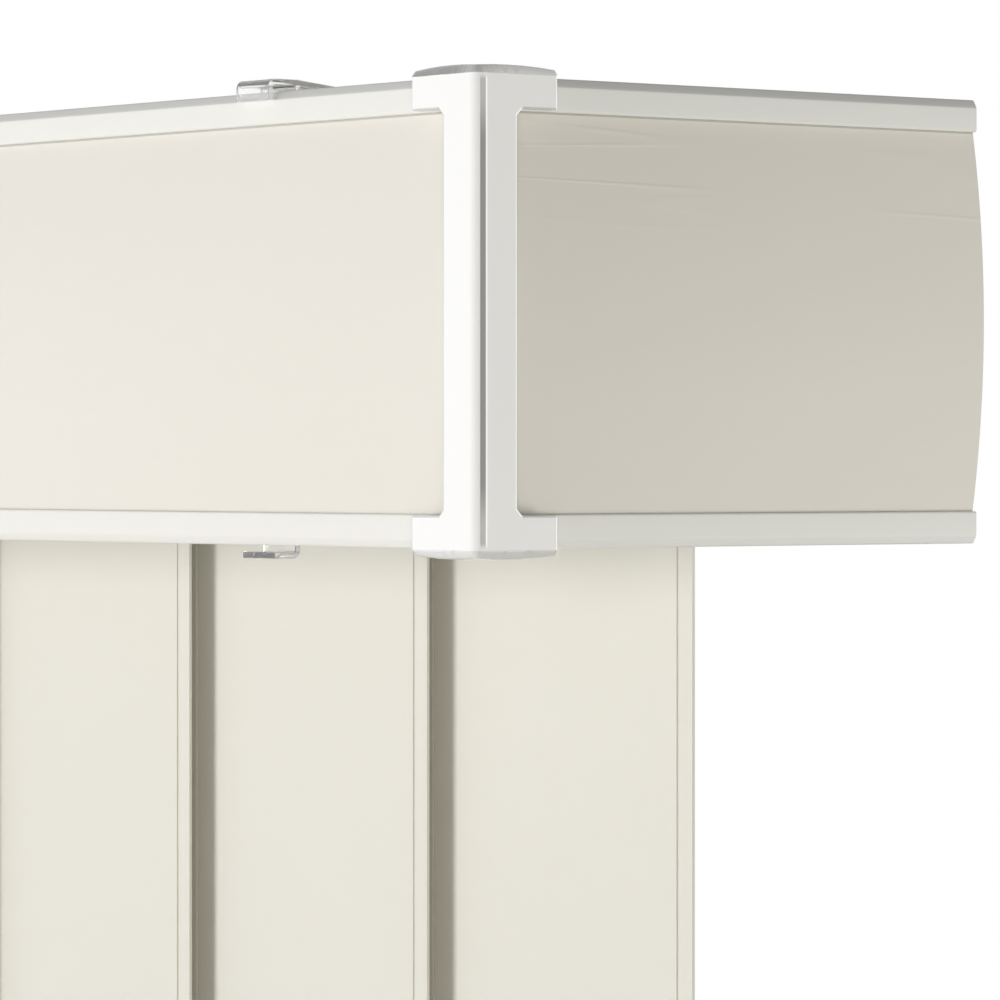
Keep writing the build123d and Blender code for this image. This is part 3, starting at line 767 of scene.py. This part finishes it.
def vane_outline(bm, level):
    """Crowned section of a vane with a groove beside each edge, drawn in the local XY plane."""
    half_width = VANE_WIDTH / 2
    radius = (half_width**2 + VANE_CROWN**2) / (2 * VANE_CROWN)
    face = radius + VANE_THICKNESS / 2
    rear = radius - VANE_THICKNESS / 2
    reach = math.asin(half_width / radius)
    groove_out = math.asin((half_width - EDGE_STRIP + GROOVE_WIDTH / 2) / radius)
    groove_in = math.asin((half_width - EDGE_STRIP - GROOVE_WIDTH / 2) / radius)
    runs = []
    for start, end, distance, steps in (
        (-reach, -groove_out, face, STRIP_STEPS),
        (-groove_out, -groove_in, face - GROOVE_DEPTH, 1),
        (-groove_in, groove_in, face, VANE_STEPS),
        (groove_in, groove_out, face - GROOVE_DEPTH, 1),
        (groove_out, reach, face, STRIP_STEPS),
        (reach, -reach, rear, VANE_STEPS + 2 * STRIP_STEPS),
    ):
        place = (distance * math.sin(start), radius - distance * math.cos(start), level)
        runs.append(spin_run(bm, place, (0, radius, level), (0, 0, 1), end - start, steps))
    link_runs(bm, runs)


def raise_edges(bm, edges, height):
    """Extrudes edges upwards and gives the new upper edges."""
    result = bmesh.ops.extrude_edge_only(bm, edges=edges)
    raised = [item for item in result["geom"] if isinstance(item, bmesh.types.BMVert)]
    bmesh.ops.translate(bm, verts=raised, vec=(0, 0, height))
    return [item for item in result["geom"]
            if isinstance(item, bmesh.types.BMEdge) and all(vert in raised for vert in item.verts)]


def mid_height(edge):
    return sum(vert.co.z for vert in edge.verts) / 2


def make_vane(index):
    """Crowned strip on its stem's axis, with the slot that it hangs by."""
    node = f"vane_{index}"
    low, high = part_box(node)
    slot_top = high[2] - HANG_SLOT_DROP
    slot_bottom = slot_top - HANG_SLOT_HEIGHT
    bm = bmesh.new()
    vane_outline(bm, low[2])
    edges = bm.edges[:]
    below = low[2]
    for level in (slot_bottom, slot_top, high[2]):
        edges = raise_edges(bm, edges, level - below)
        below = level
    hole = []
    for face in bm.faces:
        middle = face.calc_center_median()
        if slot_bottom < middle.z < slot_top and abs(middle.x) < HANG_SLOT_LENGTH / 2:
            hole.append(face)
    bmesh.ops.delete(bm, geom=hole, context="FACES")
    slot_rim = [
        edge for edge in bm.edges
        if edge.is_boundary and low[2] + WELD < mid_height(edge) < high[2] - WELD
    ]
    bmesh.ops.bridge_loops(bm, edges=slot_rim)
    for level in (low[2], high[2]):
        rim = [
            edge for edge in bm.edges if all(abs(vert.co.z - level) < WELD for vert in edge.verts)
        ]
        bmesh.ops.contextual_create(bm, geom=rim)
    bmesh.ops.recalc_face_normals(bm, faces=bm.faces[:])
    axis = hinge_of[body_of[node]]["pos_m"]
    turn = Matrix.Translation((axis[0], axis[1], 0)) @ Matrix.Rotation(-VANE_TILT, 4, "Z")
    bmesh.ops.transform(bm, matrix=turn, verts=bm.verts[:])
    finish_piece(bm, f"{node}_strip", node, VANE_FINISH)


def welded(node):
    """Copy of a node's shape with its facets merged into whole faces."""
    bm = bmesh.new()
    bm.from_mesh(frame["nodes"][node].data)
    bmesh.ops.remove_doubles(bm, verts=bm.verts[:], dist=WELD)
    bmesh.ops.dissolve_limit(bm, angle_limit=FLAT_ANGLE, verts=bm.verts[:], edges=bm.edges[:])
    return bm


def sharp_edges(bm):
    return [
        edge for edge in bm.edges if edge.is_manifold and edge.calc_face_angle() > SHARP_ANGLE
    ]


def ease_edges(bm, edges, edge_round, clamp):
    """Rounds edges and gives the faces of the roundings."""
    result = bmesh.ops.bevel(
        bm, geom=edges, offset=edge_round, offset_type="OFFSET", segments=EDGE_STEPS,
        profile=ROUND_PROFILE, affect="EDGES", material=-1, clamp_overlap=clamp,
    )
    return result["faces"]


def finish_moulded(bm, node, material):
    """Piece with rounded edges, cleared of slivers, whose flat faces keep an even shading."""
    bmesh.ops.remove_doubles(bm, verts=bm.verts[:], dist=SLIVER)
    bmesh.ops.dissolve_degenerate(bm, dist=SLIVER, edges=bm.edges[:])
    piece = finish_piece(bm, f"{node}_moulded", node, material)
    weighted = piece.modifiers.new("weighted", "WEIGHTED_NORMAL")
    weighted.keep_sharp = True


def softened(node, edge_round, material):
    """Welded copy of a node's shape with its sharp edges eased."""
    bm = welded(node)
    ease_edges(bm, sharp_edges(bm), edge_round, True)
    finish_moulded(bm, node, material)


def bow_end(bm, side, hand, ridge, peak):
    """Gives one end of a corner moulding a fine bow over a level rim, for the node's facets."""
    centre = ridge + Vector((-side, 1)) * DOME_INSET
    for axis in range(2):
        for step in range(-DOME_CUTS, DOME_CUTS + 1):
            place = centre.to_3d()
            place[axis] += step * DOME_STEP
            cap = [
                face for face in bm.faces if hand * face.normal.z > CAP_SLOPE
                and all(hand * (peak - vert.co.z) < CAP_DEPTH for vert in face.verts)
            ]
            geom = dict.fromkeys(item for face in cap for item in (*face.verts, *face.edges, face))
            bmesh.ops.bisect_plane(
                bm, geom=list(geom), plane_co=place, plane_no=(1 - axis, axis, 0),
            )
    for vert in bm.verts:
        depth = min(side * (ridge.x - vert.co.x), vert.co.y - ridge.y)
        offset = vert.co.xy - centre
        # Drop of the bow along and across the corner's diagonal; the node has the larger of the two
        along = (offset.y - side * offset.x) ** 2 / (4 * DOME_RADIUS)
        across = (offset.y + side * offset.x) ** 2 / (4 * DOME_RADIUS)
        node_drop = max(along, across)
        under = hand * (peak - vert.co.z) - node_drop
        if under < BOW_ZONE or (depth < RIM_ZONE and under < RIM_ZONE):
            share = min(max(under / RIM_CHAMFER, 0), 1)
            bow_shift = -min(along, across)
            rim_shift = node_drop + RIM_CHAMFER - RIM_DROP
            vert.co.z += hand * ((1 - share) * bow_shift + share * rim_shift)


def make_corner(node):
    """Corner moulding with bowed ends, with painted shade and glowing painted highlights along its
    edges and over its ends, standing in for light bent in clear plastic.
    """
    bm = welded(node)
    clear = bm.faces.layers.float.new(PAINTED_SHADE_LAYER)
    low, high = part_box(node)
    side = 1 if high[0] > 0 else -1
    ridge = Vector((high[0] if side > 0 else low[0], low[1]))
    ends = (low[2], high[2])
    body_edges = [
        edge for edge in sharp_edges(bm)
        if any(min(abs(vert.co.z - end) for end in ends) > CAP_DEPTH for vert in edge.verts)
    ]
    eased = ease_edges(bm, body_edges, CORNER_ROUND, False)
    bm.normal_update()
    # Painted shade on the eased edges, and a glowing painted highlight on those that face right and
    # back
    for face in eased:
        turn = Vector((side * face.normal.x, face.normal.y, 1 - abs(face.normal.z)))
        face[clear] = PAINTED_GLINT if min(turn) > GLINT_TURN else EDGE_PAINTED_SHADE
    for hand, peak in ((1, high[2]), (-1, low[2])):
        bow_end(bm, side, hand, ridge, peak)
    # Painted shade over the ends: the front half of the top darker than the return half, the foot
    # lightly
    for face in bm.faces:
        middle = face.calc_center_median()
        if middle.z > high[2] - RIM_DROP + RIM_MARGIN:
            offset = middle.xy - ridge - Vector((-side, 1)) * DOME_INSET
            turn = min(max(0.5 + (offset.y + side * offset.x) / TOP_BLEND, 0), 1)
            face[clear] = TOP_PAINTED_SHADE + turn * (RETURN_PAINTED_SHADE - TOP_PAINTED_SHADE)
        elif middle.z < low[2] + RIM_DROP - RIM_MARGIN:
            face[clear] = FOOT_PAINTED_SHADE
    finish_moulded(bm, node, CORNER_FINISH)


def make_softened_pieces(places):
    """Families of pieces, each with its finish and the radius of its eased edges."""
    sides = ("left", "right")
    families = [
        ([f"valance_clip_{place}" for place in ("left", "middle", "right")], 0.0002, CLEAR_FINISH),
        ([f"bracket_{side}" for side in sides], 0.0002, BRACKET_FINISH),
        ([f"bracket_latch_{side}" for side in sides], 0.0001, SPRING_FINISH),
        (["headrail"], 0.0002, RAIL_FINISH),
        (["tilt_rod"], 0.0001, RAIL_FINISH),
        ([f"end_cap_{side}" for side in sides], 0.0004, FITTING_FINISH),
        ([f"carrier_{place}" for place in places], 0.0003, FITTING_FINISH),
        ([f"spacer_{place}" for place in places[:-1]], 0.00005, SPRING_FINISH),
        ([f"stem_{place}" for place in places], 0.0001, CLEAR_FINISH),
        (["wand_yoke"], 0.0002, CLEAR_FINISH),
        (["wand_rod"], 0.0003, WAND_FINISH),
        (["wand_grip"], 0.0008, GRIP_FINISH),
    ]
    for nodes, edge_round, material in families:
        for node in nodes:
            softened(node, edge_round, material)


# Stage, light and camera

def make_floor():
    bm = bmesh.new()
    bmesh.ops.create_grid(bm, x_segments=1, y_segments=1, size=FLOOR_HALF)
    bmesh.ops.translate(bm, verts=bm.verts[:], vec=(0, 0, cad_bounds[0][2] - FLOOR_DROP))
    mesh = bpy.data.meshes.new("floor")
    bm.to_mesh(mesh)
    bm.free()
    floor = bpy.data.objects.new("floor", mesh)
    bpy.context.collection.objects.link(floor)
    mesh.materials.append(finish_material(
        "floor_pale", (0.86, 0.86, 0.85), (0.84, 0.84, 0.83),
        roughness=0.7, spread=0.1, stretch=EVEN, bump=0.1, tone_scale=2.0))


def make_world():
    """White to look at, and a soft light that is stronger from below than from above."""
    world = bpy.data.worlds.new("studio")
    bpy.context.scene.world = world
    world.use_nodes = True
    tree = world.node_tree
    shown = tree.nodes["Background"]
    shown.inputs["Color"].default_value = (1, 1, 1, 1)
    lighting = tree.nodes.new("ShaderNodeBackground")
    coords = tree.nodes.new("ShaderNodeTexCoord")
    ramp = tree.nodes.new("ShaderNodeMapRange")
    ramp_ends = {
        "From Min": -1.0, "From Max": 1.0, "To Min": WORLD_BELOW, "To Max": WORLD_ABOVE,
    }
    for label, end in ramp_ends.items():
        ramp.inputs[label].default_value = end
    height = height_of(tree, coords.outputs["Generated"])
    tree.links.new(height, ramp.inputs["Value"])
    tree.links.new(ramp.outputs["Result"], lighting.inputs["Strength"])
    path = tree.nodes.new("ShaderNodeLightPath")
    seen = math_node(tree, "MAXIMUM", path.outputs["Is Camera Ray"], path.outputs["Is Glossy Ray"])
    seen = math_node(tree, "MAXIMUM", seen, path.outputs["Is Transmission Ray"])
    mix = tree.nodes.new("ShaderNodeMixShader")
    tree.links.new(seen, mix.inputs["Fac"])
    tree.links.new(lighting.outputs["Background"], mix.inputs[1])
    tree.links.new(shown.outputs["Background"], mix.inputs[2])
    tree.links.new(mix.outputs["Shader"], tree.nodes["World Output"].inputs["Surface"])


def make_light(name, place, target, size, power, colour):
    light = bpy.data.lights.new(name, "AREA")
    light.shape = "DISK"
    light.size = size
    light.energy = power
    light.color = colour
    lamp = bpy.data.objects.new(name, light)
    lamp.location = place
    lamp.rotation_euler = (Vector(target) - Vector(place)).to_track_quat("-Z", "Y").to_euler()
    lamp.visible_camera = False
    lamp.visible_glossy = False
    bpy.context.collection.objects.link(lamp)


def make_camera():
    data = bpy.data.cameras.new("camera")
    data.sensor_fit = "HORIZONTAL"
    data.sensor_width = SENSOR_WIDTH
    data.lens = FOCAL_PIXELS / FRAME_PIXELS * SENSOR_WIDTH
    camera = bpy.data.objects.new("camera", data)
    camera.location = CAMERA_PLACE
    camera.rotation_euler = (math.pi / 2 - CAMERA_DIP, 0, CAMERA_TURN)
    bpy.context.collection.objects.link(camera)
    bpy.context.scene.camera = camera


make_valance()
for corner_node in ("corner_left", "corner_right"):
    make_corner(corner_node)
make_softened_pieces(vane_places)
for vane_place in vane_places:
    make_vane(vane_place)
make_floor()
make_world()
for lamp_values in LAMPS:
    make_light(*lamp_values)
make_camera()
bpy.context.scene.view_settings.view_transform = "Standard"
